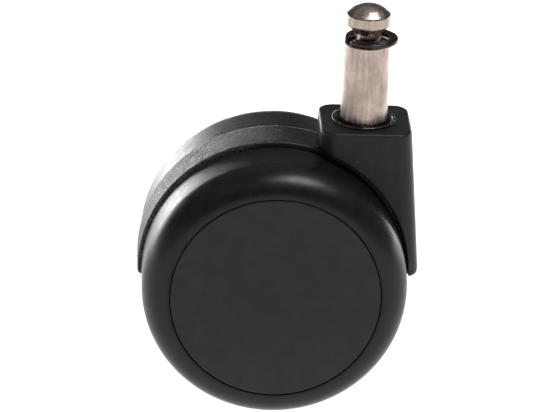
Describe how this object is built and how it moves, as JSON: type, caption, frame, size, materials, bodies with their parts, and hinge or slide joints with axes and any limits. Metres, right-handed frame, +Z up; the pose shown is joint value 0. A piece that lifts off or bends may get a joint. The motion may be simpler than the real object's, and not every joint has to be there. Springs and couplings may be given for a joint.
{
  "type": "chair caster wheel",
  "caption": "Twin-wheel swivel caster for an office chair, with a hooded housing, soft treads and a grip-ring push-in stem.",
  "frame": {"origin": "on the stem's axis at the foot of its bare shank, level with the top of the steel rim in the housing's neck", "axes": "+Z up the stem towards the chair, +X from the wheel axle towards the stem, +Y along the axle from the front wheel to the back wheel"},
  "size_m": [0.065, 0.0468, 0.0942],
  "materials": {
    "black_nylon": "moulded nylon, fine spark grain on the hood, satin on the neck",
    "soft_tread": "soft polyurethane tread, smooth satin",
    "cap_plastic": "moulded disc, satin with a fine grain",
    "core_nylon": "moulded nylon",
    "satin_nickel": "satin nickel plate, turned, with small pits",
    "spring_steel": "oiled dark spring steel",
    "dark_steel": "phosphated steel",
    "zinc_steel": "bright zinc plate",
    "bronze": "sintered bronze",
    "acetal": "natural acetal"
  },
  "bodies": {
    "stem": {"stem": "satin_nickel", "stem_clip": "dark_steel"},
    "ring": {"grip_ring": "spring_steel"},
    "housing": {"housing": "black_nylon", "socket_sleeve": "dark_steel", "thrust_washer": "zinc_steel", "pivot_bush": "bronze", "axle": "zinc_steel", "front_hub_washer": "zinc_steel", "front_outer_washer": "zinc_steel", "front_axle_clip": "dark_steel", "back_hub_washer": "zinc_steel", "back_outer_washer": "zinc_steel", "back_axle_clip": "dark_steel"},
    "front_wheel": {"front_wheel_core": "core_nylon", "front_tyre": "soft_tread", "front_cap": "cap_plastic", "front_bush": "acetal"},
    "back_wheel": {"back_wheel_core": "core_nylon", "back_tyre": "soft_tread", "back_cap": "cap_plastic", "back_bush": "acetal"}
  },
  "joints": [
    {"name": "swivel", "type": "hinge", "parent": "stem", "child": "housing", "pos_m": [0, 0, 0], "axis": [0, 0, 1], "continuous": true},
    {"name": "front_wheel_spin", "type": "hinge", "parent": "housing", "child": "front_wheel", "pos_m": [-0.0198, 0, -0.036], "axis": [0, 1, 0], "continuous": true},
    {"name": "back_wheel_spin", "type": "hinge", "parent": "housing", "child": "back_wheel", "pos_m": [-0.0198, 0, -0.036], "axis": [0, 1, 0], "continuous": true},
    {"name": "ring_float", "type": "slide", "parent": "stem", "child": "ring", "axis": [1, 0, 0], "range_m": [-0.0019, 0]}
  ]
}
